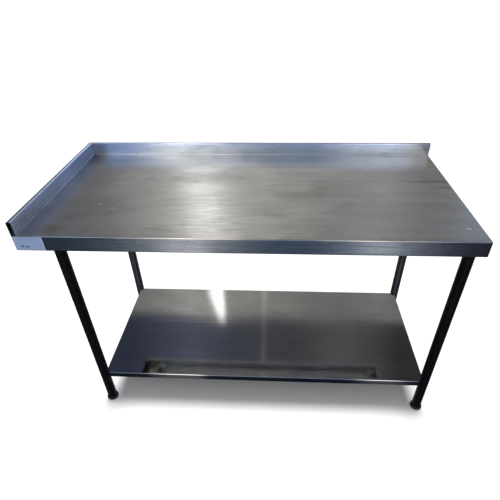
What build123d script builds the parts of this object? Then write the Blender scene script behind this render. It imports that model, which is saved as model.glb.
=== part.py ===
from build123d import *
import os

os.makedirs("parts", exist_ok=True)

# A stainless steel work table: a folded worktop with an upstand along the back and the left end,
# four round tube legs on screw feet, and a folded undershelf between the legs.
# The frame: millimetres, +X along the table to its right end, +Y to the back, +Z up.
# The origin is on the floor, under the middle of the worktop.

# ---- Driving dimensions ----
length = 1500  # worktop, left to right
depth = 700  # worktop, front to back
top_height = 900  # floor to working surface
apron_height = 55  # folded edge of the worktop
upstand_height = 50  # above the working surface
upstand_width = 14  # across the box fold
top_sheet = 1.5
top_bend = 3.0  # outside radius of a bend in the worktop
edge_return = 9.0  # width of the safe edge folded inwards under each apron

end_piece_length = 98  # the apron's separate left end, butt welded to the rest
leg_x = {"left": -638, "right": 720}
leg_y = {"front": -299, "rear": 264}
leg_radius = 19.05
leg_wall = 1.5
leg_bottom = 21.5
leg_top = 870.5

shelf_x = (-633, 720)  # the shelf's edges run close to the legs' axes
shelf_y = (-300, 266)
shelf_height = 168  # floor to shelf surface
shelf_edge = 26  # depth of the shelf's downturned edge
shelf_sheet = 1.2
shelf_bend = 2.4
shelf_return = 12.0

foot_radius = 24.5
foot_height = 14.0
thread_radius = 5.0
thread_clearance = 0.05
foot_travel = 25.0  # how far each foot screws down

# ---- Sizes worked out from them ----
left, right = -length / 2, length / 2
front, rear = -depth / 2, depth / 2
apron_bottom = top_height - apron_height
deck_underside = top_height - top_sheet
upstand_top = top_height + upstand_height
fold_line = upstand_width + top_bend  # from the outer face to the flat of the deck
corners = [(row, side) for row in leg_y for side in leg_x]
clear = 1.0  # how far a cutting shape runs past what it cuts
weld_gap = 0.05  # between two curved faces that a weld or a thread joins


def save(piece, name):
    """Label a finished piece and write it to its own file."""
    piece.part.label = name
    export_step(piece.part, f"parts/{name}.step")


def inward(side):
    """+1 where the middle of the table is towards +X of this side's legs, else -1."""
    return 1 if leg_x[side] < 0 else -1


def upstand_section(outer):
    """Centre line of the box upstand from the deck to its safe edge; outer is its outer face."""
    inwards = 1 if outer < 0 else -1
    half = top_sheet / 2
    face = outer + inwards * half
    inner = outer + inwards * (upstand_width + half)
    return [
        (outer + inwards * (fold_line + clear), top_height - half),
        (inner, top_height - half),
        (inner, upstand_top - half),
        (face, upstand_top - half),
        (face, apron_bottom + half),
        (outer + inwards * edge_return, apron_bottom + half),
    ]


def fold(points, bend, sheet):
    """Draw the section of a folded sheet along a centre line, into the sketch being built."""
    with BuildLine() as path:
        FilletPolyline(*points, radius=bend - sheet / 2)
    trace(path.line, line_width=sheet)


# ---- Worktop: deck, front and right aprons, and the upstand along the back ----
with BuildPart() as worktop_pan:
    deck_depth = depth - fold_line
    with BuildSketch(Plane.XY.offset(apron_bottom)):
        with Locations((0, front + deck_depth / 2)):
            Rectangle(length, deck_depth)
    extrude(amount=apron_height)
    front_bend = edges().filter_by(Axis.X).group_by(Axis.Z)[-1].sort_by(Axis.Y)[0]
    right_bend = edges().filter_by(Axis.Y).group_by(Axis.Z)[-1].sort_by(Axis.X)[-1]
    corner_weld = edges().filter_by(Axis.Z).group_by(Axis.Y)[0].sort_by(Axis.X)[-1]
    fillet([front_bend, right_bend, corner_weld], radius=top_bend)
    open_faces = [
        faces().sort_by(Axis.Z)[0],
        faces().sort_by(Axis.X)[0],
        faces().sort_by(Axis.Y)[-1],
    ]
    offset(amount=-top_sheet, openings=open_faces)
    # the back upstand is one fold of the same sheet
    with BuildSketch(Plane.YZ.offset(left)):
        fold(upstand_section(rear), top_bend, top_sheet)
    extrude(amount=length)
    # the right apron runs on behind the upstand's open end
    with BuildSketch(Plane.YZ.offset(right - top_sheet)):
        with Locations((rear - fold_line / 2 - clear, apron_bottom + apron_height / 2)):
            Rectangle(fold_line + 2 * clear - top_sheet, apron_height)
    extrude(amount=top_sheet)
    # safe edges under the front and right aprons
    with BuildSketch(Plane.XY.offset(apron_bottom)):
        with Locations((left, front + top_sheet / 2)):
            Rectangle(length - top_sheet, edge_return - top_sheet / 2, align=(Align.MIN, Align.MIN))
        with Locations((right - top_sheet / 2, front + top_sheet)):
            Rectangle(edge_return - top_sheet / 2, depth - 2 * top_sheet, align=(Align.MAX, Align.MIN))
    extrude(amount=top_sheet)
    low_front = edges().filter_by(Axis.X).group_by(Axis.Z)[0].sort_by(Axis.Y)[0]
    fillet(low_front, radius=1.2)
    # the left end takes the separate upstand, mitred at the back corner
    with BuildSketch(Plane.XY.offset(apron_bottom - clear)):
        with BuildLine():
            Polyline(
                (left - clear, front + top_bend),
                (left + fold_line, front + top_bend),
                (left + fold_line, rear - fold_line),
                (left, rear),
                (left - clear, rear + clear),
                close=True,
            )
        make_face()
    extrude(amount=upstand_top - apron_bottom + 2 * clear, mode=Mode.SUBTRACT)
    # the apron's left end is a separate piece, up to the bend
    with BuildSketch(Plane.XY.offset(apron_bottom - clear)):
        with Locations((left - clear, front - clear)):
            Rectangle(
                end_piece_length + clear, edge_return + 2 * clear, align=(Align.MIN, Align.MIN)
            )
    extrude(amount=apron_height - top_bend + clear, mode=Mode.SUBTRACT)
save(worktop_pan, "worktop_pan")

# ---- Left end upstand: the same box fold, mitred to the back one ----
with BuildPart() as end_upstand:
    with BuildSketch(Plane.XZ.offset(-rear)):
        fold(upstand_section(left), top_bend, top_sheet)
    extrude(amount=depth)
    split(bisect_by=Plane(origin=(left, rear, 0), z_dir=(1, 1, 0)), keep=Keep.BOTTOM)
    # the flange that meets the deck ends on the weld line
    with BuildSketch(Plane.XY.offset(deck_underside - clear)):
        with Locations((left + fold_line, front - clear)):
            Rectangle(2 * clear, depth + 2 * clear, align=(Align.MIN, Align.MIN))
    extrude(amount=top_sheet + 2 * clear, mode=Mode.SUBTRACT)
    # the front apron covers the fold below the working surface
    with BuildSketch(Plane.XY.offset(apron_bottom - clear)):
        with Locations((left - clear, front - clear)):
            Rectangle(fold_line + 3 * clear, top_sheet + clear, align=(Align.MIN, Align.MIN))
    extrude(amount=apron_height + clear, mode=Mode.SUBTRACT)
    with BuildSketch(Plane.XY.offset(top_height - top_bend)):
        with Locations((left - clear, front - clear)):
            Rectangle(fold_line + 3 * clear, top_bend + clear, align=(Align.MIN, Align.MIN))
    extrude(amount=top_bend, mode=Mode.SUBTRACT)
save(end_upstand, "end_upstand")

# ---- Separate left end of the front apron ----
with BuildPart() as apron_end_piece:
    with BuildSketch(Plane.XY.offset(apron_bottom)):
        with Locations((left, front)):
            Rectangle(end_piece_length, top_sheet, align=(Align.MIN, Align.MIN))
    extrude(amount=apron_height - top_bend)
    with BuildSketch(Plane.XY.offset(apron_bottom)):
        with Locations((left + edge_return, front)):
            Rectangle(
                end_piece_length - edge_return, edge_return, align=(Align.MIN, Align.MIN)
            )
    extrude(amount=top_sheet)
    low_front = edges().filter_by(Axis.X).group_by(Axis.Z)[0].sort_by(Axis.Y)[0]
    fillet(low_front, radius=1.2)
save(apron_end_piece, "apron_end_piece")

# ---- Channels under the deck that carry the leg sockets, open side up ----
channel_width = 50
channel_height = 25
channel_sheet = 2.0
channel_front = front + 5
channel_rear = rear - fold_line - 3
channel_web = deck_underside - channel_height  # underside of the channel
socket_plate = 3.0
socket_bolt_reach = 33  # from the leg's axis, along Y
bolt_radius = 3.0
bolt_hole_radius = 3.3


def bolt_places(row, side):
    """The two bolts of one leg socket."""
    return [(leg_x[side], leg_y[row] + sign * socket_bolt_reach) for sign in (-1, 1)]


def make_cross_channel(side):
    """A U-shaped channel across the table over one pair of legs."""
    middle = leg_x[side]
    half = channel_width / 2 - channel_sheet / 2
    with BuildPart() as channel:
        with BuildSketch(Plane.XZ.offset(-channel_rear)):
            fold(
                [
                    (middle - half, deck_underside),
                    (middle - half, channel_web + channel_sheet / 2),
                    (middle + half, channel_web + channel_sheet / 2),
                    (middle + half, deck_underside),
                ],
                2 * channel_sheet,
                channel_sheet,
            )
        extrude(amount=channel_rear - channel_front)
        with BuildSketch(Plane.XY.offset(channel_web - clear)):
            with Locations(*bolt_places("front", side), *bolt_places("rear", side)):
                Circle(bolt_hole_radius)
        extrude(amount=channel_sheet + 2 * clear, mode=Mode.SUBTRACT)
    save(channel, f"cross_channel_{side}")


for side in leg_x:
    make_cross_channel(side)

# ---- Top-hat stiffeners along the underside of the deck ----
hat_width = 60
hat_height = 25
hat_flange = 16
hat_sheet = 1.2
hat_gap = 2  # between a stiffener's end and the channel beside it
deck_hat_y = {"front": -140, "rear": 140}


def make_top_hat(name, middle, top, height, start, end):
    """A top-hat section along X, with its flanges against the sheet above it."""
    half = hat_width / 2
    with BuildPart() as hat:
        with BuildSketch(Plane.YZ.offset(start)):
            fold(
                [
                    (middle - half - hat_flange, top - hat_sheet / 2),
                    (middle - half, top - hat_sheet / 2),
                    (middle - half, top - height + hat_sheet / 2),
                    (middle + half, top - height + hat_sheet / 2),
                    (middle + half, top - hat_sheet / 2),
                    (middle + half + hat_flange, top - hat_sheet / 2),
                ],
                2 * hat_sheet,
                hat_sheet,
            )
        extrude(amount=end - start)
    save(hat, name)


hat_start = leg_x["left"] + channel_width / 2 + hat_gap
hat_end = leg_x["right"] - channel_width / 2 - hat_gap
for row, middle in deck_hat_y.items():
    make_top_hat(f"deck_stiffener_{row}", middle, deck_underside, hat_height, hat_start, hat_end)

# ---- Leg sockets: a plate with a collar, bolted under the channels ----
collar_radius = 22.2
collar_bore = leg_radius + weld_gap
collar_bottom = 850
plate_length = 88
grub_radius = 4.0
grub_height = 859
grub_length = 5.0
grub_key = 2.3  # radius to the corners of the hexagon socket
grub_key_depth = 2.5


def grub_plane(row, side):
    """A plane on the leg's axis, facing along X to the middle of the table."""
    return Plane(origin=(leg_x[side], leg_y[row], grub_height), z_dir=(inward(side), 0, 0))


def make_leg_socket(row, side):
    """A collar for the top of one leg, under its bolted plate, with a tapped grub screw hole."""
    middle = (leg_x[side], leg_y[row])
    with BuildPart() as socket:
        with BuildSketch(Plane.XY.offset(leg_top)):
            with Locations(middle):
                RectangleRounded(channel_width, plate_length, radius=6)
            with Locations(*bolt_places(row, side)):
                Circle(bolt_hole_radius, mode=Mode.SUBTRACT)
        extrude(amount=socket_plate)
        with BuildSketch(Plane.XY.offset(collar_bottom)):
            with Locations(middle):
                Circle(collar_radius)
                Circle(collar_bore, mode=Mode.SUBTRACT)
        extrude(amount=leg_top - collar_bottom)
        with BuildSketch(grub_plane(row, side)):
            Circle(grub_radius)
        extrude(amount=collar_radius + clear, mode=Mode.SUBTRACT)
    save(socket, f"leg_socket_{row}_{side}")


# ---- Shelf brackets: an angle under each shelf corner, screwed into the leg ----
bracket_sheet = 2.5
bracket_width = 20
bracket_reach = 52  # from the leg's axis to the end of the tab
bracket_drop = 20
shelf_underside = shelf_height - shelf_sheet
screw_height = shelf_underside - 10
rivet_nut_radius = 4.5
rivet_bulb_radius = 6.0
rivet_bulb = (13.5, 16.4)  # the collapsed bulb inside the tube wall, from the leg's axis
rivet_nut = (8.0, 18.4)


def diagonal(row, side):
    """The direction from a leg's axis to the middle of the shelf, at 45 degrees."""
    return (inward(side), 1 if row == "front" else -1, 0)


def bracket_plane(row, side):
    """A plane on the leg's axis at the screw's height, facing the middle of the shelf."""
    return Plane(origin=(leg_x[side], leg_y[row], screw_height), z_dir=diagonal(row, side))


def make_leg(row, side):
    """A plain round tube, with a hole for the shelf bracket's rivet nut."""
    with BuildPart() as leg:
        with BuildSketch(Plane.XY.offset(leg_bottom)):
            with Locations((leg_x[side], leg_y[row])):
                Circle(leg_radius)
                Circle(leg_radius - leg_wall, mode=Mode.SUBTRACT)
        extrude(amount=leg_top - leg_bottom)
        with BuildSketch(bracket_plane(row, side)):
            Circle(rivet_nut_radius + weld_gap)
        extrude(amount=leg_radius + clear, mode=Mode.SUBTRACT)
    save(leg, f"leg_{row}_{side}")


def make_shelf_bracket(row, side):
    """A folded angle: one face against the leg, the other spot welded under the shelf."""
    towards_x, towards_y, _ = diagonal(row, side)
    half = bracket_sheet / 2
    section = Plane(
        origin=(leg_x[side], leg_y[row], shelf_underside),
        x_dir=(towards_x, towards_y, 0),
        z_dir=(towards_y, -towards_x, 0),
    )
    with BuildPart() as bracket:
        with BuildSketch(section):
            fold(
                [
                    (leg_radius + half, -bracket_drop),
                    (leg_radius + half, -half),
                    (bracket_reach, -half),
                ],
                2 * bracket_sheet,
                bracket_sheet,
            )
        extrude(amount=bracket_width / 2, both=True)
        with BuildSketch(bracket_plane(row, side)):
            Circle(bolt_hole_radius)
        extrude(amount=leg_radius + bracket_sheet + clear, mode=Mode.SUBTRACT)
    save(bracket, f"shelf_bracket_{row}_{side}")


# ---- Fasteners: each kind is one group of separate pieces ----
hex_corner = 5.77  # M6 hexagon, centre to corner
thread_bore = bolt_radius + 0.02
head_height = 4.0
nut_height = 5.0
socket_bolt_length = 13.0
bracket_screw_tip = 9.0  # from the leg's axis


def make_fasteners():
    """Socket bolts and nuts, grub screws, bracket screws and their rivet nuts."""
    all_bolts = [place for corner in corners for place in bolt_places(*corner)]
    with BuildPart() as bolts:
        with BuildSketch(Plane.XY.offset(leg_top - head_height)):
            with Locations(*all_bolts):
                RegularPolygon(hex_corner, 6)
        extrude(amount=head_height)
        with BuildSketch(Plane.XY.offset(leg_top)):
            with Locations(*all_bolts):
                Circle(bolt_radius)
        extrude(amount=socket_bolt_length)
    save(bolts, "socket_bolts")

    with BuildPart() as nuts:
        with BuildSketch(Plane.XY.offset(channel_web + channel_sheet)):
            with Locations(*all_bolts):
                RegularPolygon(hex_corner, 6)
                Circle(thread_bore, mode=Mode.SUBTRACT)
        extrude(amount=nut_height)
    save(nuts, "socket_nuts")

    with BuildPart() as grub_screws:
        for corner in corners:
            with BuildSketch(grub_plane(*corner).offset(leg_radius)):
                Circle(grub_radius - weld_gap)
            extrude(amount=grub_length)
            with BuildSketch(grub_plane(*corner).offset(leg_radius + grub_length)):
                RegularPolygon(grub_key, 6)
            extrude(amount=-grub_key_depth, mode=Mode.SUBTRACT)
    save(grub_screws, "socket_grub_screws")

    with BuildPart() as bracket_screws:
        for corner in corners:
            with BuildSketch(bracket_plane(*corner).offset(leg_radius + bracket_sheet)):
                RegularPolygon(hex_corner, 6)
            extrude(amount=head_height)
            with BuildSketch(bracket_plane(*corner).offset(bracket_screw_tip)):
                Circle(bolt_radius)
            extrude(amount=leg_radius + bracket_sheet - bracket_screw_tip)
    save(bracket_screws, "bracket_screws")

    with BuildPart() as rivet_nuts:
        for corner in corners:
            with BuildSketch(bracket_plane(*corner).offset(rivet_nut[0])):
                Circle(rivet_nut_radius)
                Circle(thread_bore, mode=Mode.SUBTRACT)
            extrude(amount=rivet_nut[1] - rivet_nut[0])
            with BuildSketch(bracket_plane(*corner).offset(rivet_bulb[0])):
                Circle(rivet_bulb_radius)
                Circle(thread_bore, mode=Mode.SUBTRACT)
            extrude(amount=rivet_bulb[1] - rivet_bulb[0])
    save(rivet_nuts, "bracket_rivet_nuts")


# ---- Screw feet: an insert in the leg, a turning spindle, and a pad that only rises and falls ----
insert_flange = 2.0
insert_depth = 28.0
thread_left = 17.5  # thread still in the insert when the foot is right down
spindle_top = leg_bottom - insert_flange + foot_travel + thread_left
spindle_hex = 9.8  # 17 mm hexagon, centre to corner
hex_bottom = foot_height + 0.3
hex_height = 4.7
head_radius = 7.2  # the spindle's captive head, inside the pad
head_bottom = 5.1
head_top = 8.9
head_play = 0.1


def make_foot(row, side):
    """The three pieces of one adjustable foot."""
    middle = (leg_x[side], leg_y[row])
    bore = thread_radius + thread_clearance
    with BuildPart() as insert:
        with BuildSketch(Plane.XY.offset(leg_bottom - insert_flange)):
            with Locations(middle):
                Circle(leg_radius)
        extrude(amount=insert_flange)
        with BuildSketch(Plane.XY.offset(leg_bottom)):
            with Locations(middle):
                Circle(leg_radius - leg_wall - weld_gap)
        extrude(amount=insert_depth)
        chamfer(edges().group_by(Axis.Z)[-1], length=1.5)
        with BuildSketch(Plane.XY.offset(leg_bottom - insert_flange - clear)):
            with Locations(middle):
                Circle(bore)
        extrude(amount=insert_flange + insert_depth + 2 * clear, mode=Mode.SUBTRACT)
    save(insert, f"foot_insert_{row}_{side}")

    with BuildPart() as spindle:
        with BuildSketch(Plane.XY.offset(head_bottom)):
            with Locations(middle):
                Circle(head_radius)
        extrude(amount=head_top - head_bottom)
        with BuildSketch(Plane.XY.offset(head_top)):
            with Locations(middle):
                Circle(thread_radius)
        extrude(amount=spindle_top - head_top)
        chamfer(edges().group_by(Axis.Z)[-1], length=1.0)
        with BuildSketch(Plane.XY.offset(hex_bottom)):
            with Locations(middle):
                RegularPolygon(spindle_hex, 6)
        extrude(amount=hex_height)
    save(spindle, f"foot_spindle_{row}_{side}")

    with BuildPart() as pad:
        with BuildSketch(Plane(origin=(*middle, 0), x_dir=(1, 0, 0), z_dir=(0, -1, 0))):
            with BuildLine():
                outline = FilletPolyline(
                    (0, 0),
                    (foot_radius - 3, 0),
                    (foot_radius, foot_height / 2),
                    (foot_radius - 1, foot_height),
                    (0, foot_height),
                    radius=3.5,
                )
                Line(outline @ 1, outline @ 0)
            make_face()
        revolve(axis=Axis((*middle, 0), (0, 0, 1)))
        with BuildSketch(Plane.XY.offset(head_bottom - head_play)):
            with Locations(middle):
                Circle(head_radius + head_play)
        extrude(amount=head_top - head_bottom + 2 * head_play, mode=Mode.SUBTRACT)
        with BuildSketch(Plane.XY.offset(head_top)):
            with Locations(middle):
                Circle(bore)
        extrude(amount=foot_height, mode=Mode.SUBTRACT)
    save(pad, f"foot_pad_{row}_{side}")


# ---- Shelf: a folded tray whose corners fit round the legs ----
with BuildPart() as shelf_pan:
    shelf_length = shelf_x[1] - shelf_x[0]
    shelf_depth = shelf_y[1] - shelf_y[0]
    shelf_middle = (sum(shelf_x) / 2, sum(shelf_y) / 2)
    with BuildSketch(Plane.XY.offset(shelf_height - shelf_edge)):
        with Locations(shelf_middle):
            Rectangle(shelf_length, shelf_depth)
    extrude(amount=shelf_edge)
    fillet(edges().group_by(Axis.Z)[-1], radius=shelf_bend)
    offset(amount=-shelf_sheet, openings=faces().sort_by(Axis.Z)[0])
    with BuildSketch(Plane.XY.offset(shelf_height - shelf_edge)):
        with Locations(shelf_middle):
            Rectangle(shelf_length - shelf_sheet, shelf_depth - shelf_sheet)
            Rectangle(
                shelf_length - 2 * shelf_return, shelf_depth - 2 * shelf_return, mode=Mode.SUBTRACT
            )
    extrude(amount=shelf_sheet)
    with BuildSketch(Plane.XY.offset(shelf_height - shelf_edge - clear)):
        with Locations(*[(leg_x[side], leg_y[row]) for row, side in corners]):
            Circle(leg_radius + weld_gap)
    extrude(amount=shelf_edge + 2 * clear, mode=Mode.SUBTRACT)
save(shelf_pan, "shelf_pan")

make_top_hat(
    "shelf_stiffener", shelf_middle[1], shelf_underside, shelf_edge - 2, hat_start, hat_end
)

for row, side in corners:
    make_leg_socket(row, side)
    make_leg(row, side)
    make_shelf_bracket(row, side)
    make_foot(row, side)
make_fasteners()
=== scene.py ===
import math
import random

import bmesh
import bpy
from mathutils import Matrix, Vector


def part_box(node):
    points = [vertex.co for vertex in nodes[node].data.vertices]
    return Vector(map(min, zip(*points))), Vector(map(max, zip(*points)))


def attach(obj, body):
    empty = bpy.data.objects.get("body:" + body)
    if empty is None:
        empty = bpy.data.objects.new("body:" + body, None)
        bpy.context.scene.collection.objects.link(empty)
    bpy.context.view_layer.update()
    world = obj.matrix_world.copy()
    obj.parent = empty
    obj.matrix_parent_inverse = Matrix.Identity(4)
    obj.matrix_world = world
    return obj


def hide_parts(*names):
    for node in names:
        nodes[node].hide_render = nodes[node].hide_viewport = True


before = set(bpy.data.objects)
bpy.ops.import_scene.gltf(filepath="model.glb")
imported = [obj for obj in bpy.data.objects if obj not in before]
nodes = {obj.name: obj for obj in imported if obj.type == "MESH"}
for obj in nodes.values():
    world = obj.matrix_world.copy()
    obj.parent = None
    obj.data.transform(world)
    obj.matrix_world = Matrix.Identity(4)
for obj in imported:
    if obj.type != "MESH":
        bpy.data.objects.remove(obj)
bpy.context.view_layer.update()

scene = bpy.context.scene
MM = 0.001

# ---- Camera: solved from the table's visible edges, in the table's own frame ----
CAMERA_PLACE = (0.0961, -1.4078, 1.5967)
CAMERA_PITCH = 0.636  # radians below the horizon
CAMERA_ROLL = -0.021
CAMERA_YAW = 0.062
SENSOR_WIDTH = 36.0
FOCAL_LENGTH = 0.8184  # in frame widths
LENS_CENTRE = (0.5112, 0.5236)  # where the lens axis meets the frame, in frame widths from its top left


def make_camera():
    """A camera in front of the table, looking down at it."""
    data = bpy.data.cameras.new("camera")
    data.sensor_width = SENSOR_WIDTH
    data.lens = FOCAL_LENGTH * SENSOR_WIDTH
    data.shift_x = 0.5 - LENS_CENTRE[0]
    data.shift_y = LENS_CENTRE[1] - 0.5
    data.clip_start = 0.05
    data.clip_end = 100.0
    camera = bpy.data.objects.new("camera", data)
    scene.collection.objects.link(camera)
    turn = Matrix.Rotation(CAMERA_YAW, 3, "Z")
    forward = turn @ Vector((0, math.cos(CAMERA_PITCH), -math.sin(CAMERA_PITCH)))
    upward = turn @ Vector((0, math.sin(CAMERA_PITCH), math.cos(CAMERA_PITCH)))
    across = turn @ Vector((1, 0, 0))
    roll_cos, roll_sin = math.cos(CAMERA_ROLL), math.sin(CAMERA_ROLL)
    side = roll_cos * across + roll_sin * upward
    top = roll_cos * upward - roll_sin * across
    axes = Matrix((side, top, -forward)).transposed()
    camera.matrix_world = Matrix.Translation(CAMERA_PLACE) @ axes.to_4x4()
    scene.camera = camera


class Tree:
    """Short calls for building one node tree."""

    def __init__(self, tree):
        self.tree = tree

    def feed(self, socket, value):
        """Link a socket to an output, or set it to a constant."""
        if isinstance(value, bpy.types.NodeSocket):
            self.tree.links.new(value, socket)
        else:
            socket.default_value = value

    def add(self, kind, inputs=None, **settings):
        node = self.tree.nodes.new(kind)
        for key, value in settings.items():
            setattr(node, key, value)
        for key, value in (inputs or {}).items():
            self.feed(node.inputs[key], value)
        return node

    def math(self, operation, *values):
        return self.add("ShaderNodeMath", dict(enumerate(values)), operation=operation).outputs[0]

    def product(self, first, *others):
        """All the values multiplied together."""
        for value in others:
            first = self.math("MULTIPLY", first, value)
        return first

    def parts(self, vector):
        """The X, Y and Z of a vector."""
        return self.add("ShaderNodeSeparateXYZ", {0: vector}).outputs

    def vector_math(self, operation, *values):
        return self.add("ShaderNodeVectorMath", dict(enumerate(values)), operation=operation).outputs

    def remap(self, value, low, high, to_low=0.0, to_high=1.0):
        """A smooth step from to_low to to_high as value goes from low to high."""
        inputs = {0: value, 1: low, 2: high, 3: to_low, 4: to_high}
        return self.add("ShaderNodeMapRange", inputs, interpolation_type="SMOOTHSTEP").outputs[0]

    def stretch(self, vector, scale, move=(0, 0, 0)):
        inputs = {"Vector": vector, "Location": move, "Scale": scale}
        return self.add("ShaderNodeMapping", inputs).outputs[0]

    def bump(self, height, distance, strength=1.0, normal=None):
        """A normal tilted by a height; distance is in metres."""
        inputs = {"Height": height, "Distance": distance, "Strength": strength}
        if normal is not None:
            inputs["Normal"] = normal
        return self.add("ShaderNodeBump", inputs).outputs[0]

    def noise(self, vector, scale=1.0, detail=2.0, roughness=0.5, distortion=0.0):
        inputs = {"Vector": vector, "Scale": scale, "Detail": detail}
        inputs.update({"Roughness": roughness, "Distortion": distortion})
        return self.add("ShaderNodeTexNoise", inputs).outputs[0]

    def ramp(self, value, stops):
        """A colour ramp through (position, colour) stops."""
        node = self.add("ShaderNodeValToRGB", {0: value})
        elements = node.color_ramp.elements
        for _ in range(len(stops) - len(elements)):
            elements.new(0.5)
        for element, (position, colour) in zip(elements, stops):
            element.position = position
            element.color = (*colour, 1)
        return node.outputs[0]

    def blend(self, factor, first, second, kind="MIX"):
        """first mixed with second, as far as factor says."""
        node = self.add("ShaderNodeMix", data_type="RGBA", blend_type=kind)
        self.feed(node.inputs[0], factor)
        self.feed(node.inputs[6], first)
        self.feed(node.inputs[7], second)
        return node.outputs[2]


# ---- Light: a pale studio round the table, as the steel sees it ----
# Each stop is a direction's share along X (-1 to 1) and the light's colour there.
REAR_LIGHT = [
    (-1.00, (0.20, 0.20, 0.20)),
    (-0.50, (0.17, 0.18, 0.20)),
    (-0.42, (0.19, 0.19, 0.19)),
    (-0.30, (0.45, 0.44, 0.42)),
    (-0.20, (0.76, 0.75, 0.72)),
    (-0.13, (0.62, 0.61, 0.58)),
    (-0.04, (0.54, 0.53, 0.50)),
    (0.15, (0.37, 0.36, 0.35)),
    (0.24, (0.44, 0.43, 0.43)),
    (0.33, (0.25, 0.25, 0.25)),
    (0.42, (0.28, 0.28, 0.29)),
    (0.80, (0.20, 0.20, 0.20)),
]
CEILING_LIGHT = [
    (-1.00, (0.10, 0.10, 0.11)),
    (-0.33, (0.045, 0.055, 0.095)),
    (-0.19, (0.12, 0.13, 0.19)),
    (-0.11, (0.08, 0.09, 0.12)),
    (0.05, (0.09, 0.09, 0.10)),
    (0.17, (0.14, 0.14, 0.15)),
    (0.24, (0.09, 0.09, 0.095)),
    (0.28, (0.05, 0.05, 0.05)),
    (1.00, (0.10, 0.10, 0.10)),
]
FRONT_LIGHT = [
    (-1.00, (0.12, 0.12, 0.13)),
    (-0.47, (0.025, 0.035, 0.055)),
    (-0.36, (0.08, 0.11, 0.16)),
    (-0.29, (0.14, 0.18, 0.25)),
    (-0.24, (1.10, 1.15, 1.22)),
    (-0.172, (1.18, 1.22, 1.26)),
    (-0.156, (0.14, 0.18, 0.25)),
    (0.05, (0.07, 0.105, 0.17)),
    (0.18, (0.09, 0.13, 0.23)),
    (0.22, (0.82, 0.90, 1.00)),
    (0.265, (0.85, 0.92, 1.00)),
    (0.30, (0.13, 0.165, 0.28)),
    (0.35, (0.022, 0.026, 0.06)),
    (0.50, (0.02, 0.02, 0.045)),
    (1.00, (0.10, 0.10, 0.11)),
]
# How strong the light is at a direction's height (-1 to 1).
REAR_LEVEL = [
    (-1.00, (0.40, 0.40, 0.42)),
    (-0.30, (0.36, 0.36, 0.38)),
    (-0.08, (0.18, 0.19, 0.22)),
    (0.04, (1.00, 1.00, 1.00)),
    (0.50, (1.00, 1.00, 1.00)),
    (0.64, (0.74, 0.74, 0.74)),
    (1.00, (0.74, 0.74, 0.74)),
]
FRONT_LEVEL = [
    (-1.00, (0.03, 0.03, 0.03)),
    (-0.685, (0.04, 0.04, 0.04)),
    (-0.58, (0.27, 0.27, 0.27)),
    (-0.30, (0.30, 0.30, 0.30)),
    (0.00, (0.45, 0.41, 0.34)),
    (0.15, (0.70, 0.65, 0.56)),
    (0.30, (1.32, 1.24, 1.14)),
    (1.00, (0.80, 0.80, 0.80)),
]
FRONT_STRENGTH = 3.2
# What follows is in the same shares: along X, and in height.
CEILING_HEIGHT = (0.690, 0.705)  # where the light behind the table stops
CEILING_SLOPE = 0.22  # how much lower it stops towards the left end
CEILING_SLOPE_RIGHT = 0.6  # the same towards the right end, as a share of that
CEILING_LEVEL_PART = (-0.14, 0.10)  # it doesn't slope between these
WINDOW_COLOUR = (1.0, 0.99, 0.96)
WINDOW_LEFT_EDGES = [(0.18, -0.277), (0.60, -0.550)]  # slope and offset of each line that bounds it
WINDOW_RIGHT_EDGE = (0.1125, -0.199)
WINDOW_LEFT_SOFTNESS = 0.007
WINDOW_RIGHT_SOFTNESS = 0.004
WINDOW_STRENGTH = (0.45, 0.64, 0.9, 2.0)  # two heights, and how strong it is at each
LINE_PLACE = -0.027  # a thin bright line beside the window
LINE_SOFTNESS = (0.001, 0.006)
LINE_STRENGTH = 0.44
LINE_FADE = (0.6, 0.72, 1.0, 0.25)  # two heights, and the share of its strength at each
LINE_COLOUR = (1.0, 0.98, 0.92)
SKY_COLOUR = (0.22, 0.42, 0.85)
FLOOR_FILL = 0.82  # how much of this light reaches matt surfaces
SUN_STRENGTH = 3.6
SUN_ANGLE = math.radians(31)
SUN_TILT = math.radians(-13)
FLOOR_HALF = 30.0


def light_profile(tree, share, stops):
    """The light's colour as a function of one share of the direction, -1 to 1."""
    return tree.ramp(tree.math("MULTIPLY_ADD", share, 0.5, 0.5), [(x * 0.5 + 0.5, c) for x, c in stops])


def window_light(tree, along, height):
    """How much of the window is in a direction: it is narrower towards its top."""
    left_lines = [tree.math("MULTIPLY_ADD", height, *line) for line in WINDOW_LEFT_EDGES]
    left_edge = tree.math("MAXIMUM", *left_lines)
    right_edge = tree.math("MULTIPLY_ADD", height, *WINDOW_RIGHT_EDGE)
    from_left = tree.math("SUBTRACT", along, left_edge)
    from_right = tree.math("SUBTRACT", right_edge, along)
    inside_left = tree.remap(from_left, -WINDOW_LEFT_SOFTNESS, WINDOW_LEFT_SOFTNESS)
    inside_right = tree.remap(from_right, -WINDOW_RIGHT_SOFTNESS, WINDOW_RIGHT_SOFTNESS)
    return tree.product(inside_left, inside_right, tree.remap(height, *WINDOW_STRENGTH))


def ceiling_share(tree, along, height):
    """1 in directions that meet the ceiling, 0 below it; its edge slopes towards both ends."""
    left_start, right_start = CEILING_LEVEL_PART
    leftwards = tree.math("MAXIMUM", tree.math("SUBTRACT", left_start, along), 0.0)
    rightwards = tree.math("MAXIMUM", tree.math("SUBTRACT", along, right_start), 0.0)
    outwards = tree.math("MULTIPLY_ADD", rightwards, CEILING_SLOPE_RIGHT, leftwards)
    lowered = tree.product(outwards, CEILING_SLOPE)
    return tree.remap(tree.math("ADD", height, lowered), *CEILING_HEIGHT)


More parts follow.
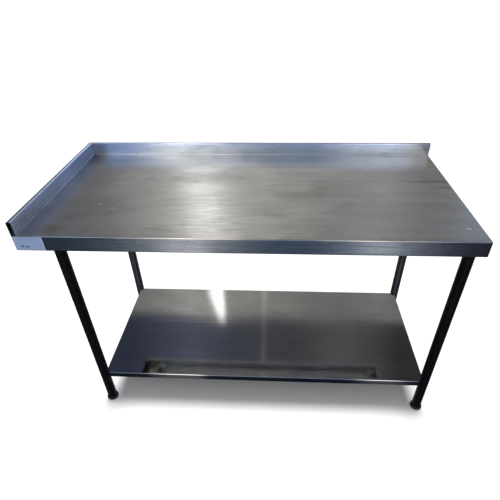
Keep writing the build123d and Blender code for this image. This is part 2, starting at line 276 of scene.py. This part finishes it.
def rear_light(tree, along, height):
    """The neutral light behind the table: a wall, a window, a patch of sky, a ceiling and a line."""
    rear = light_profile(tree, along, REAR_LIGHT)
    rear = tree.blend(1.0, rear, light_profile(tree, height, REAR_LEVEL), "MULTIPLY")
    window = tree.blend(1.0, (*WINDOW_COLOUR, 1), window_light(tree, along, height), "MULTIPLY")
    rear = tree.blend(1.0, rear, window, "ADD")
    # cool light low down beyond the table's right end
    sky = tree.product(tree.remap(along, 0.39, 0.43), tree.remap(height, 0.46, 0.36))
    sky = tree.product(sky, tree.remap(along, 0.62, 0.52))
    rear = tree.blend(sky, rear, (*SKY_COLOUR, 1), "ADD")
    ceiling = light_profile(tree, along, CEILING_LIGHT)
    rear = tree.blend(ceiling_share(tree, along, height), rear, ceiling)
    off_line = tree.math("ABSOLUTE", tree.math("SUBTRACT", along, LINE_PLACE))
    line = tree.remap(off_line, *LINE_SOFTNESS, LINE_STRENGTH, 0.0)
    line = tree.product(line, tree.remap(height, *LINE_FADE))
    return tree.blend(line, rear, (*LINE_COLOUR, 1), "ADD")


def front_light(tree, along, height):
    """The cool light in front of the table, with a patch of sky beyond each end."""
    front = light_profile(tree, along, FRONT_LIGHT)
    front = tree.blend(1.0, front, light_profile(tree, height, FRONT_LEVEL), "MULTIPLY")
    front = tree.blend(1.0, front, (FRONT_STRENGTH,) * 3 + (1,), "MULTIPLY")
    aside = tree.math("ABSOLUTE", along)
    sky = tree.product(tree.remap(aside, 0.34, 0.42), tree.remap(aside, 0.62, 0.52))
    sky = tree.product(sky, tree.remap(height, 0.1, 0.2))
    return tree.blend(sky, front, (*SKY_COLOUR, 1), "ADD")


def make_world():
    """Neutral light behind and above the table, cool light in front, and a white backdrop."""
    world = bpy.data.worlds.new("studio")
    world.use_nodes = True
    scene.world = world
    tree = Tree(world.node_tree)
    tree.tree.nodes.clear()
    direction = tree.add("ShaderNodeTexCoord").outputs["Generated"]
    along, away, height = tree.parts(direction)
    behind = tree.remap(away, -0.2, 0.2)
    seen = tree.blend(behind, front_light(tree, along, height), rear_light(tree, along, height))
    paths = tree.add("ShaderNodeLightPath").outputs
    grey = tree.add("ShaderNodeRGBToBW", {0: seen}).outputs[0]
    seen = tree.blend(paths["Is Diffuse Ray"], seen, tree.product(grey, FLOOR_FILL))
    for_metal = tree.add("ShaderNodeBackground", {"Color": seen, "Strength": 1.0})
    backdrop = tree.add("ShaderNodeBackground", {"Color": (1, 1, 1, 1), "Strength": 1.0})
    mixed = tree.add("ShaderNodeMixShader", {0: paths["Is Camera Ray"]})
    tree.feed(mixed.inputs[1], for_metal.outputs[0])
    tree.feed(mixed.inputs[2], backdrop.outputs[0])
    output = tree.add("ShaderNodeOutputWorld")
    tree.feed(output.inputs[0], mixed.outputs[0])


def make_sun():
    """Soft light from above, for the floor: it passes through the worktop and its channels."""
    data = bpy.data.lights.new("overhead_light", "SUN")
    data.energy = SUN_STRENGTH
    data.angle = SUN_ANGLE
    sun = bpy.data.objects.new("overhead_light", data)
    sun.rotation_euler = (SUN_TILT, 0, 0)
    sun.visible_glossy = False
    scene.collection.objects.link(sun)
    blockers = bpy.data.collections.new("overhead_light_blockers")
    sun.light_linking.blocker_collection = blockers
    passed = ["worktop_pan", "end_upstand", "apron_end_piece", "cross_channel_left"]
    passed += ["cross_channel_right", "deck_stiffener_front", "deck_stiffener_rear"]
    for name in passed:
        blockers.objects.link(nodes[name])
    for member in blockers.collection_objects:
        member.light_linking.link_state = "EXCLUDE"


def make_floor():
    """A plain pale floor under the feet."""
    mesh = bpy.data.meshes.new("floor")
    corners = [(-1, -1), (1, -1), (1, 1), (-1, 1)]
    mesh.from_pydata([(x * FLOOR_HALF, y * FLOOR_HALF, 0) for x, y in corners], [], [(0, 1, 2, 3)])
    floor = bpy.data.objects.new("floor", mesh)
    scene.collection.objects.link(floor)
    floor.visible_glossy = False
    material = bpy.data.materials.new("pale_floor")
    material.use_nodes = True
    tree = Tree(material.node_tree)
    place = tree.add("ShaderNodeTexCoord").outputs["Object"]
    mottle = tree.noise(place, 3.0, 3.0)
    shader = material.node_tree.nodes["Principled BSDF"]
    tree.feed(shader.inputs["Base Color"], tree.blend(mottle, (0.88, 0.88, 0.88, 1), (0.9, 0.9, 0.9, 1)))
    shader.inputs["Roughness"].default_value = 0.9
    shader.inputs["Specular IOR Level"].default_value = 0.0
    mesh.materials.append(material)


# ---- Materials: the table's levels and edges place what is painted on the steel, in metres ----
DECK = 0.900
UPSTAND_TOP = 0.950
APRON_FOOT = 0.845
FRONT = -0.350
REAR = 0.350
LEFT = -0.750
RIGHT = 0.750
RUST = (0.46, 0.36, 0.27)
STAIN = (0.30, 0.30, 0.31)
SPECK_COLOUR = (0.98, 0.98, 0.97)


def new_material(name):
    """A material with its node tree and its shader."""
    material = bpy.data.materials.new(name)
    material.use_nodes = True
    return material, Tree(material.node_tree), material.node_tree.nodes["Principled BSDF"]


def brushed_steel(name, colour, roughness, spread=0.9, axis=0, grain=0.05, stain=0.0, warm=0.0,
                  metal=1.0, tilt=0.00001, sag=0.0, marks=None, less_metal=None, coarser=None):
    """Stainless steel, brushed along one axis, with streaks and wear.

    axis is that axis, spread is how anisotropic it is, and tilt is the depth of the brushing in
    metres. By the place on the table, marks paints over its colour, less_metal says how much less
    metallic it is, and coarser how much deeper the brushing is.
    """
    material, tree, shader = new_material(name)
    place = tree.add("ShaderNodeTexCoord").outputs["Object"]

    def lines(across, length, detail, move=0.0):
        """Noise drawn out along the grain: across and length are in cycles a metre."""
        scale = [across] * 3
        scale[axis] = length
        return tree.noise(tree.stretch(place, scale, move=(move, move, move)), 1.0, detail)

    fine = lines(900.0, 1.2, 2.0)
    middle = lines(160.0, 2.0, 3.0, 3.1)
    broad = lines(28.0, 0.9, 3.0, 7.7)
    cloud = tree.noise(tree.stretch(place, (5, 8, 8)), 1.0, 5.0, 0.6)
    level = tree.remap(fine, 0.25, 0.75, 1.0 - grain, 1.0 + grain)
    level = tree.math("MULTIPLY", level, tree.remap(middle, 0.25, 0.75, 1.0 - grain, 1.0 + grain))
    level = tree.math("MULTIPLY", level, tree.remap(broad, 0.3, 0.7, 0.97, 1.03))
    level = tree.math("MULTIPLY", level, tree.remap(cloud, 0.3, 0.7, 0.92, 1.05))
    tint = tree.blend(1.0, (*colour, 1), level, "MULTIPLY")
    if warm:
        spots = tree.noise(place, 9.0, 5.0, 0.6)
        rusty = tree.remap(spots, 0.55, 0.75, 0.0, warm)
        tint = tree.blend(rusty, tint, (*RUST, 1))
    if stain:
        blots = tree.noise(tree.stretch(place, (7, 16, 16)), 1.0, 5.0, 0.6, 0.6)
        dull = tree.remap(blots, 0.56, 0.72, 0.0, stain)
        tint = tree.blend(dull, tint, (*STAIN, 1))
    if marks:
        tint = marks(tree, place, tint)
    tree.feed(shader.inputs["Base Color"], tint)
    wear = tree.remap(cloud, 0.3, 0.7, roughness * 1.25, roughness * 0.85)
    wear = tree.math("ADD", wear, tree.remap(middle, 0.25, 0.75, -0.008, 0.008))
    tree.feed(shader.inputs["Roughness"], wear)
    shader.inputs["Metallic"].default_value = metal
    if less_metal:
        metallic = tree.math("SUBTRACT", 1.0, less_metal(tree, place))
        tree.feed(shader.inputs["Metallic"], metallic)
    shader.inputs["Anisotropic"].default_value = spread
    across_grain = (0.0, 1.0, 0.0) if axis == 0 else (1.0, 0.0, 0.0)
    tangent = tree.add("ShaderNodeCombineXYZ", dict(enumerate(across_grain)))
    tree.feed(shader.inputs["Tangent"], tangent.outputs[0])
    swell = None
    if sag:
        swell = tree.bump(tree.noise(tree.stretch(place, (4.0, 5.0, 5.0)), 1.0, 1.0), sag)
    waves = tree.bump(middle, 0.0002, 0.04, swell)
    depth = tree.math("MULTIPLY_ADD", coarser(tree, place), tilt, tilt) if coarser else tilt
    tree.feed(shader.inputs["Normal"], tree.bump(fine, depth, 1.0, waves))
    return material


def spot(tree, place, centre, radii, edge=0.4, ragged=0.5):
    """1 inside a ragged ellipsoid about centre, 0 outside it."""
    offset = tree.vector_math("SUBTRACT", place, centre)[0]
    scaled = tree.vector_math("DIVIDE", offset, radii)[0]
    far = tree.vector_math("LENGTH", scaled)["Value"]
    rough = tree.noise(scaled, 1.6, 4.0, 0.65)
    far = tree.math("ADD", far, tree.math("MULTIPLY_ADD", rough, 2 * ragged, -ragged))
    return tree.remap(far, 1.0 - edge, 1.0 + edge, 1.0, 0.0)


def shade(tree, factor, tint, colour):
    """tint times colour, as far as factor says."""
    return tree.blend(factor, tint, (*colour, 1), "MULTIPLY")


# What has been left on the working surface: middle, half-widths and the colour that it turns the steel.
SMUDGES = [
    ((0.165, -0.055, 0.900), (0.070, 0.030, 0.01), (0.86, 0.85, 0.83)),
    ((0.255, -0.010, 0.900), (0.030, 0.045, 0.01), (0.84, 0.83, 0.81)),
    ((-0.60, 0.130, 0.900), (0.090, 0.110, 0.01), (0.84, 0.84, 0.86)),
    ((-0.20, 0.090, 0.900), (0.110, 0.045, 0.01), (0.64, 0.64, 0.64)),
    ((0.080, -0.160, 0.900), (0.060, 0.045, 0.01), (0.88, 0.87, 0.85)),
    ((-0.640, -0.305, 0.900), (0.030, 0.030, 0.01), (0.84, 0.77, 0.69)),
    ((0.690, 0.070, 0.900), (0.090, 0.012, 0.01), (0.70, 0.70, 0.72)),
    ((0.735, 0.020, 0.900), (0.050, 0.010, 0.01), (0.66, 0.66, 0.68)),
]
SPECKS = [
    ((-0.539, -0.132, 0.900), (0.005, 0.007, 0.01)),
    ((-0.485, -0.160, 0.900), (0.004, 0.006, 0.01)),
    ((-0.470, -0.171, 0.900), (0.003, 0.004, 0.01)),
    ((0.704, -0.274, 0.900), (0.008, 0.005, 0.01)),
]


def worktop_marks(tree, place, tint):
    """Painted shade along the deck's left and rear folds and the apron's lower bend, darker and warmer
    towards the right end, a painted sky reflection on the upstand, bluer towards its left corner, a
    painted dark line on its outer top fold, a painted warm highlight on the front bend, smudges and
    specks.
    """
    x, y, z = tree.parts(place)
    # painted shade: the deck darker and warmer near the left upstand
    left_edge = tree.remap(x, LEFT + 0.050, LEFT + 0.095, 1.0, 0.0)
    tint = shade(tree, left_edge, tint, (0.80, 0.71, 0.58))
    right_end = tree.remap(x, RIGHT - 0.150, RIGHT - 0.030)
    tint = shade(tree, right_end, tint, (0.97, 0.91, 0.82))
    under_bend = tree.remap(z, DECK + 0.0035, DECK + 0.0015)
    on_deck = tree.product(under_bend, tree.remap(z, DECK - 0.0010, DECK - 0.0006))
    # painted shade: the deck darker and warmer in front of the rear upstand
    rear_edge = tree.product(tree.remap(y, 0.19, 0.30), tree.remap(y, 0.332, 0.325), on_deck)
    tint = shade(tree, rear_edge, tint, (0.78, 0.71, 0.62))
    # painted reflection: the rear upstand tinted blue, as by the sky
    upstand = tree.product(tree.remap(z, DECK + 0.003, DECK + 0.006), tree.remap(y, 0.30, 0.32))
    tint = shade(tree, upstand, tint, (1.06, 1.16, 1.34))
    # painted reflection: bluer still towards the upstand's left corner
    corner = tree.product(tree.remap(x, -0.36, -0.66), upstand)
    tint = shade(tree, corner, tint, (0.72, 0.86, 1.12))
    # painted shade: a dark line along the upstand's outer top fold
    near_top = tree.remap(z, UPSTAND_TOP - 0.006, UPSTAND_TOP - 0.004)
    outer_fold = tree.product(tree.remap(y, REAR - 0.011, REAR - 0.010), near_top)
    tint = shade(tree, outer_fold, tint, (0.30, 0.31, 0.33))
    # painted highlight: a warmer, brighter tint on the apron's front bend
    near_front = tree.remap(y, FRONT + 0.006, FRONT + 0.004)
    front_bend = tree.product(near_front, tree.remap(z, DECK - 0.0038, DECK - 0.0026))
    tint = shade(tree, front_bend, tint, (1.12, 1.02, 0.88))
    # painted shade: a dark line along the apron's lower bend
    near_foot = tree.remap(z, APRON_FOOT + 0.0032, APRON_FOOT + 0.0022)
    low_bend = tree.product(near_foot, tree.remap(y, FRONT + 0.020, FRONT + 0.010))
    tint = shade(tree, low_bend, tint, (0.30, 0.30, 0.34))
    for centre, radii, colour in SMUDGES:
        tint = shade(tree, spot(tree, place, centre, radii, 0.7, 1.1), tint, colour)
    for centre, radii in SPECKS:
        speck = tree.product(spot(tree, place, centre, radii, 0.4, 0.6), 0.7)
        tint = tree.blend(speck, tint, (*SPECK_COLOUR, 1))
    return tint


def worktop_sheen(tree, place):
    """How much less metallic the worktop looks: inside the pan, and towards the upstand's left end."""
    x, y, z = tree.parts(place)
    below = tree.remap(z, DECK - 0.0010, DECK - 0.0012)
    inside = tree.remap(tree.math("ABSOLUTE", y), REAR - 0.0010, REAR - 0.0012)
    inside_end = tree.remap(x, RIGHT - 0.0010, RIGHT - 0.0012)
    upstand = tree.product(tree.remap(z, DECK + 0.003, DECK + 0.006), 0.08)
    corner = tree.product(tree.remap(x, -0.30, -0.68, 0.0, 4.0), upstand)
    upstand = tree.math("ADD", upstand, corner)
    return tree.math("MULTIPLY_ADD", tree.product(below, inside, inside_end), 0.18, upstand)


def end_upstand_sheen(tree, place):
    """How much less metallic the left upstand looks: more towards its far end."""
    _, y, _ = tree.parts(place)
    return tree.remap(y, -0.20, 0.28, 0.2, 0.5)


def worktop_brushing(tree, place):
    """How much coarser the brushing is towards the back of the working surface."""
    _, y, z = tree.parts(place)
    return tree.product(tree.remap(y, 0.17, 0.25, 0.0, 1.2), tree.remap(z, DECK + 0.0035, DECK + 0.0015))


def end_upstand_marks(tree, place, tint):
    """Painted shade along the outer top fold and in the open front end, darker towards the foot,
    and a painted sky reflection: bluer towards the far end.
    """
    x, y, z = tree.parts(place)
    # painted shade: a dark line along the outer top fold
    near_top = tree.remap(z, UPSTAND_TOP - 0.006, UPSTAND_TOP - 0.004)
    outer_fold = tree.product(tree.remap(x, LEFT + 0.0095, LEFT + 0.0085), near_top)
    tint = shade(tree, outer_fold, tint, (0.22, 0.23, 0.26))
    # painted shade on the open front end
    front_end = tree.remap(y, FRONT + 0.002, FRONT + 0.001)
    tint = shade(tree, front_end, tint, (0.16, 0.17, 0.20))
    # painted shade inside the hollow between the skins
    off_skins = [tree.remap(x, LEFT + 0.0010, LEFT + 0.0012), tree.remap(x, LEFT + 0.0130, LEFT + 0.0128)]
    hollow = tree.product(*off_skins, tree.remap(z, UPSTAND_TOP - 0.0010, UPSTAND_TOP - 0.0012))
    tint = shade(tree, hollow, tint, (0.02, 0.02, 0.02))
    foot = tree.remap(z, DECK + 0.012, DECK + 0.003)
    tint = shade(tree, foot, tint, (0.85, 0.85, 0.86))
    # painted reflection: bluer towards the far end, as by the sky
    far_end = tree.remap(y, -0.20, 0.25)
    return shade(tree, far_end, tint, (0.96, 1.02, 1.11))


# The two dark nicks in the apron's end piece: their middles and half-widths.
NICKS = [(-0.7250, FRONT, 0.8620), (-0.7090, FRONT, 0.8612)]
NICK_RADII = (0.006, 0.01, 0.0025)


def end_piece_marks(tree, place, tint):
    """A brighter border at the top and the right, painted shade at the foot and two small nicks."""
    x, _, z = tree.parts(place)
    for border in (tree.remap(z, 0.893, 0.896), tree.remap(x, -0.658, -0.655)):
        tint = tree.blend(tree.product(border, 0.25), tint, (0.9, 0.93, 1.0, 1))
    # painted shade: a dark line at the foot
    foot = tree.remap(z, APRON_FOOT + 0.003, APRON_FOOT + 0.002)
    tint = shade(tree, foot, tint, (0.15, 0.16, 0.20))
    for centre in NICKS:
        tint = shade(tree, spot(tree, place, centre, NICK_RADII, 0.3, 0.4), tint, (0.12, 0.12, 0.14))
    return tint


WIPING_CENTRE = (-0.36, 0.62, 0.168)  # beyond the shelf: the arcs go round it


def shelf_marks(tree, place, tint):
    """Arcs left by wiping, at the rear left of the shelf."""
    x, y, _ = tree.parts(place)
    offset = tree.vector_math("SUBTRACT", place, WIPING_CENTRE)[0]
    far = tree.vector_math("LENGTH", offset)["Value"]
    arcs = tree.noise(tree.add("ShaderNodeCombineXYZ", {0: far}).outputs[0], 90.0, 3.0, 0.6)
    region = tree.product(tree.remap(x, -0.1, -0.3), tree.remap(y, 0.0, 0.1))
    streaks = tree.product(tree.remap(arcs, 0.58, 0.66), region, 0.5)
    return tree.blend(streaks, tint, (*STAIN, 1))


def satin_black(name, colour, dusty, gloss, roughness=0.36):
    """Satin black paint on tube, rubbed and dusty in places."""
    material, tree, shader = new_material(name)
    place = tree.add("ShaderNodeTexCoord").outputs["Object"]
    runs = tree.noise(tree.stretch(place, (120, 120, 3)), 1.0, 3.0)
    dust = tree.noise(place, 40.0, 6.0, 0.65)
    tint = tree.blend(tree.remap(dust, 0.45, 0.75), (*colour, 1), (*dusty, 1))
    shader.inputs["Specular IOR Level"].default_value = gloss
    tree.feed(shader.inputs["Base Color"], tint)
    tree.feed(shader.inputs["Roughness"], tree.remap(runs, 0.3, 0.7, roughness - 0.06, roughness + 0.1))
    tree.feed(shader.inputs["Normal"], tree.bump(dust, 0.0001, 0.3))
    return material


def moulded_black(name):
    """Black nylon with a fine moulded grain and pale scuffs."""
    material, tree, shader = new_material(name)
    place = tree.add("ShaderNodeTexCoord").outputs["Object"]
    grain = tree.noise(place, 1800.0, 2.0)
    scuff = tree.noise(tree.stretch(place, (60, 60, 260)), 1.0, 5.0, 0.7)
    rubbed = tree.remap(scuff, 0.58, 0.72, 0.0, 0.5)
    tint = tree.blend(rubbed, (0.014, 0.014, 0.018, 1), (0.07, 0.07, 0.075, 1))
    tree.feed(shader.inputs["Base Color"], tint)
    tree.feed(shader.inputs["Roughness"], tree.remap(scuff, 0.3, 0.7, 0.38, 0.55))
    tree.feed(shader.inputs["Normal"], tree.bump(grain, 0.0002, 0.4))
    return material


def zinc_plate(name):
    """Bright zinc plate, clouded and slightly yellow in places."""
    material, tree, shader = new_material(name)
    place = tree.add("ShaderNodeTexCoord").outputs["Object"]
    cloud = tree.noise(place, 260.0, 4.0, 0.6)
    tree.feed(shader.inputs["Base Color"], tree.blend(cloud, (0.58, 0.59, 0.60, 1), (0.66, 0.63, 0.54, 1)))
    tree.feed(shader.inputs["Roughness"], tree.remap(cloud, 0.3, 0.7, 0.25, 0.45))
    shader.inputs["Metallic"].default_value = 1.0
    tree.feed(shader.inputs["Normal"], tree.bump(cloud, 0.0001, 0.2))
    return material


def paint(names, material):
    """Give CAD nodes a material."""
    for name in names:
        mesh = nodes[name].data
        mesh.materials.clear()
        mesh.materials.append(material)


# ---- Pieces: threaded spindles, weld seams and spot welds ----
SHARP_ANGLE = math.radians(40)


def add_piece(name, mesh_work, material, body):
    """Turn a bmesh into an object that rides on a CAD body."""
    bmesh.ops.recalc_face_normals(mesh_work, faces=mesh_work.faces)
    mesh = bpy.data.meshes.new(name)
    mesh_work.to_mesh(mesh)
    mesh_work.free()
    mesh.polygons.foreach_set("use_smooth", [True] * len(mesh.polygons))
    mesh.set_sharp_from_angle(angle=SHARP_ANGLE)
    mesh.materials.append(material)
    piece = bpy.data.objects.new(name, mesh)
    scene.collection.objects.link(piece)
    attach(piece, body)
    return piece


def skin(mesh_work, rings):
    """A closed skin over rings of points, each with as many points as the next."""
    layers = [[mesh_work.verts.new(point) for point in ring] for ring in rings]
    count = len(rings[0])
    for lower, upper in zip(layers, layers[1:]):
        for i in range(count):
            j = (i + 1) % count
            mesh_work.faces.new((lower[i], lower[j], upper[j], upper[i]))
    mesh_work.faces.new(layers[0])
    mesh_work.faces.new(layers[-1])


COLUMNS = 24  # points round a spindle
THREAD_PITCH = 1.5 * MM
THREAD_STEP = THREAD_PITCH / 8  # between the rings of the thread
THREAD_LEAD = 0.3 * MM  # the thread's first ring is this and one step above the hexagon
THREAD_CREST = 4.97 * MM
THREAD_DEPTH = 0.85 * MM
THREAD_TIP = 1.5 * MM  # with THREAD_LEAD taken off, what the upper end has without thread
TIP_CHAMFER = 0.8 * MM
CREST_SHARE = 0.12  # of half a pitch: flat at the crest
FLANK_SHARE = 0.70  # of half a pitch: sloping
HEAD_RADIUS = 7.2 * MM
HEAD_TOP = 3.8 * MM  # heights are above the spindle's lower end
HEAD_LOWER_EDGE = 0.5 * MM
HEAD_UPPER_EDGE = 0.3 * MM
HEXAGON_FOOT = 9.2 * MM
HEXAGON_TOP = 13.9 * MM
HEXAGON_CORNER = 9.8 * MM
HEXAGON_CHAMFER = 1.2 * MM
CHAMFER_HEIGHT = 0.6 * MM


def hexagon_radius(angle):
    """How far a hexagon's side is from its middle at an angle."""
    sixth = math.pi / 3
    return HEXAGON_CORNER * math.cos(sixth / 2) / math.cos(angle % sixth - sixth / 2)


def thread_radius(height, angle):
    """How far the thread's surface is from the axis."""
    turn = height / THREAD_PITCH - angle / (2 * math.pi)
    flank = abs(2 * (turn % 1.0) - 1.0)
    rise = min(max((flank - CREST_SHARE) / FLANK_SHARE, 0.0), 1.0)
    return THREAD_CREST - THREAD_DEPTH * rise


def spindle_rings(x, y, low, high):
    """Rings up a levelling spindle: captive head, neck, hexagon, thread and chamfered end."""
    angles = [2 * math.pi * i / COLUMNS for i in range(COLUMNS)]
    neck = THREAD_CREST - THREAD_DEPTH / 2
    head_top = low + HEAD_TOP
    hexagon = low + HEXAGON_FOOT
    thread_start = low + HEXAGON_TOP
    rounds = [(low, HEAD_RADIUS - HEAD_LOWER_EDGE), (low + HEAD_LOWER_EDGE, HEAD_RADIUS)]
    rounds += [(head_top - HEAD_UPPER_EDGE, HEAD_RADIUS), (head_top, HEAD_RADIUS - HEAD_UPPER_EDGE)]
    rounds += [(head_top, neck), (hexagon, neck)]
    rings = [[(height, radius) for angle in angles] for height, radius in rounds]
    cut = HEXAGON_CORNER - HEXAGON_CHAMFER
    sides = [(hexagon, cut), (hexagon + CHAMFER_HEIGHT, HEXAGON_CORNER)]
    sides += [(thread_start - CHAMFER_HEIGHT, HEXAGON_CORNER), (thread_start, cut)]
    for height, limit in sides:
        rings.append([(height, min(hexagon_radius(angle), limit)) for angle in angles])
    rings.append([(thread_start, neck) for angle in angles])
    steps = round((high - thread_start - THREAD_TIP) / THREAD_STEP)
    for step in range(1, steps + 1):
        height = thread_start + THREAD_LEAD + step * THREAD_STEP
        rings.append([(height, thread_radius(height, angle)) for angle in angles])
    root = THREAD_CREST - THREAD_DEPTH
    rings.append([(high - TIP_CHAMFER, root) for angle in angles])
    rings.append([(high, root - TIP_CHAMFER) for angle in angles])
    placed = []
    for ring in rings:
        around = zip(angles, ring)
        placed.append([(x + r * math.cos(angle), y + r * math.sin(angle), z) for angle, (z, r) in around])
    return placed


def make_spindles(material):
    """Threaded levelling spindles in place of the plain ones."""
    for row in ("front", "rear"):
        for side in ("left", "right"):
            corner = f"{row}_{side}"
            low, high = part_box(f"foot_spindle_{corner}")
            mesh_work = bmesh.new()
            middle = (low[0] + high[0]) / 2, (low[1] + high[1]) / 2
            skin(mesh_work, spindle_rings(*middle, low[2], high[2]))
            name = f"threaded_spindle_{corner}"
            piece = add_piece(name, mesh_work, material, f"spindle_{corner}")
            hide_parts(f"foot_spindle_{corner}")


SEAM_PROFILE = [(-1.0, -0.4), (-1.0, 0.1), (-0.6, 0.75), (0.0, 1.0), (0.6, 0.75), (1.0, 0.1), (1.0, -0.4)]
SEAM_STEP = 5 * MM
SEAM_END_SIZE = 0.25
SEAM_SIZES = (0.85, 1.0)
SEAM_SWAY = 0.1  # of the half-width


def make_seam(name, start, end, out, half_width, height, material):
    """A low ground weld along a line: slightly uneven, tapering out at its ends."""
    draw = random.Random(name)
    start, end, out = Vector(start), Vector(end), Vector(out).normalized()
    steps = round((end - start).length / SEAM_STEP)
    side = (end - start).normalized().cross(out)
    rings = []
    for step in range(steps + 1):
        size = SEAM_END_SIZE if step in (0, steps) else draw.uniform(*SEAM_SIZES)
        centre = start.lerp(end, step / steps) + side * draw.uniform(-SEAM_SWAY, SEAM_SWAY) * half_width
        wide, high = side * (half_width * size), out * (height * size)
        rings.append([centre + wide * u + high * v for u, v in SEAM_PROFILE])
    mesh_work = bmesh.new()
    skin(mesh_work, rings)
    add_piece(name, mesh_work, material, "frame")


UPSTAND_HEIGHT = 50 * MM
UPSTAND_FACE = 14 * MM  # from the outside of the upstand to its inner face
UPSTAND_FOOT = 17 * MM  # from the outside to the line where its bend meets the deck
SIDE_SEAM_INSET = 5 * MM
SIDE_SEAM_SIZE = (1.6 * MM, 0.5 * MM)  # half-width and height
CORNER_SEAM_INSET = 3 * MM
CORNER_SEAM_SIZE = (1.4 * MM, 0.7 * MM)


def make_seams(material):
    """The weld along the foot of the left upstand and the one up its rear corner."""
    (left, front, _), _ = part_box("end_upstand")
    _, (_, rear, top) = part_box("worktop_pan")
    deck_level = top - UPSTAND_HEIGHT
    start = (left + UPSTAND_FOOT, front + SIDE_SEAM_INSET, deck_level)
    end = (left + UPSTAND_FOOT, rear - UPSTAND_FOOT, deck_level)
    make_seam("side_seam_weld", start, end, (0, 0, 1), *SIDE_SEAM_SIZE, material)
    corner = (left + UPSTAND_FACE, rear - UPSTAND_FACE)
    low_end = (*corner, deck_level + CORNER_SEAM_INSET)
    high_end = (*corner, top - CORNER_SEAM_INSET)
    make_seam("corner_seam_weld", low_end, high_end, (1, -1, 0), *CORNER_SEAM_SIZE, material)


# Radius and drop of one dimple's rings, in millimetres.
SPOT_PROFILE = [(0.4, -0.15), (3.2, -0.15), (3.2, 0.0), (2.8, 0.25), (2.2, 0.28), (1.7, 0.10), (0.4, 0.08)]
SPOT_PITCH = 70 * MM
SPOT_POINTS = 16
SPOT_END = 20 * MM  # from the stiffener's end to its first spot
SPOT_INSET = 8 * MM  # from the flange's edge to the row
FLANGE_THICKNESS = 1.2 * MM


def make_spot_welds(material):
    """Rows of spot-weld dimples under the stiffeners' flanges."""
    angles = [2 * math.pi * i / SPOT_POINTS for i in range(SPOT_POINTS)]
    for stiffener in ("deck_stiffener_front", "deck_stiffener_rear", "shelf_stiffener"):
        low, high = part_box(stiffener)
        level = high[2] - FLANGE_THICKNESS
        mesh_work = bmesh.new()
        length = high[0] - low[0] - 2 * SPOT_END
        count = int(length / SPOT_PITCH)
        for step in range(count + 1):
            x = low[0] + SPOT_END + step * length / count
            for y in (low[1] + SPOT_INSET, high[1] - SPOT_INSET):
                rings = []
                for radius, drop in SPOT_PROFILE:
                    z = level - drop * MM
                    reach = radius * MM
                    rings.append([(x + reach * math.cos(a), y + reach * math.sin(a), z) for a in angles])
                skin(mesh_work, rings)
        add_piece(f"{stiffener}_spot_welds", mesh_work, material, "frame")


make_camera()
make_world()
make_sun()
make_floor()

deck_steel = brushed_steel("deck_steel", (0.60, 0.60, 0.60), 0.105, 1.0, stain=0.3, warm=0.15,
                           tilt=0.00020, sag=0.0003, marks=worktop_marks,
                           less_metal=worktop_sheen, coarser=worktop_brushing)
paint(["worktop_pan"], deck_steel)
# painted reflection: the blue in the left upstand's colour stands for the sky
side_steel = brushed_steel("side_steel", (0.58, 0.68, 0.90), 0.20, axis=1, tilt=0.00004,
                           marks=end_upstand_marks, less_metal=end_upstand_sheen)
paint(["end_upstand"], side_steel)
end_piece_steel = brushed_steel("end_piece_steel", (0.36, 0.48, 0.72), 0.45, 0.3, metal=0.45,
                                marks=end_piece_marks)
paint(["apron_end_piece"], end_piece_steel)
shelf_steel = brushed_steel("shelf_steel", (0.50, 0.50, 0.50), 0.06, 0.5, stain=0.2, sag=0.0001,
                            marks=shelf_marks)
paint(["shelf_pan"], shelf_steel)
plain_steel = brushed_steel("plain_steel", (0.34, 0.34, 0.35), 0.45, grain=0.04, metal=0.6)
plain = [name for name in nodes if "channel" in name or "stiffener" in name]
plain += [name for name in nodes if name.startswith(("leg_socket", "shelf_bracket"))]
paint(plain, plain_steel)
# One black paint on all legs: the front copy is darker as painted shade, the rear copy lighter as painted
# light, with dust.
front_black_painted_shade = satin_black("satin_black", (0.002, 0.002, 0.002), (0.006, 0.006, 0.006), 0.25)
paint(["leg_front_left", "leg_front_right"], front_black_painted_shade)
rear_black_painted_light = satin_black("dusty_black_painted_light", (0.010, 0.012, 0.013), (0.028, 0.032, 0.034), 1.0, 0.28)
rear_legs = ["leg_rear_left", "leg_rear_right"]
paint(rear_legs, rear_black_painted_light)
for name in rear_legs:
    nodes[name].visible_glossy = False  # they hardly show in the shelf
feet = [name for name in nodes if name.startswith(("foot_pad", "foot_insert"))]
paint(feet, moulded_black("moulded_black"))
bright_zinc = zinc_plate("zinc_plate")
fixings = [name for name in nodes if name.startswith(("foot_spindle", "socket_", "bracket_"))]
paint(fixings, bright_zinc)
seam_steel = brushed_steel("seam_steel", (0.74, 0.75, 0.78), 0.30, 0.2)

make_spindles(bright_zinc)
make_seams(seam_steel)
make_spot_welds(plain_steel)

scene.view_settings.view_transform = "Standard"
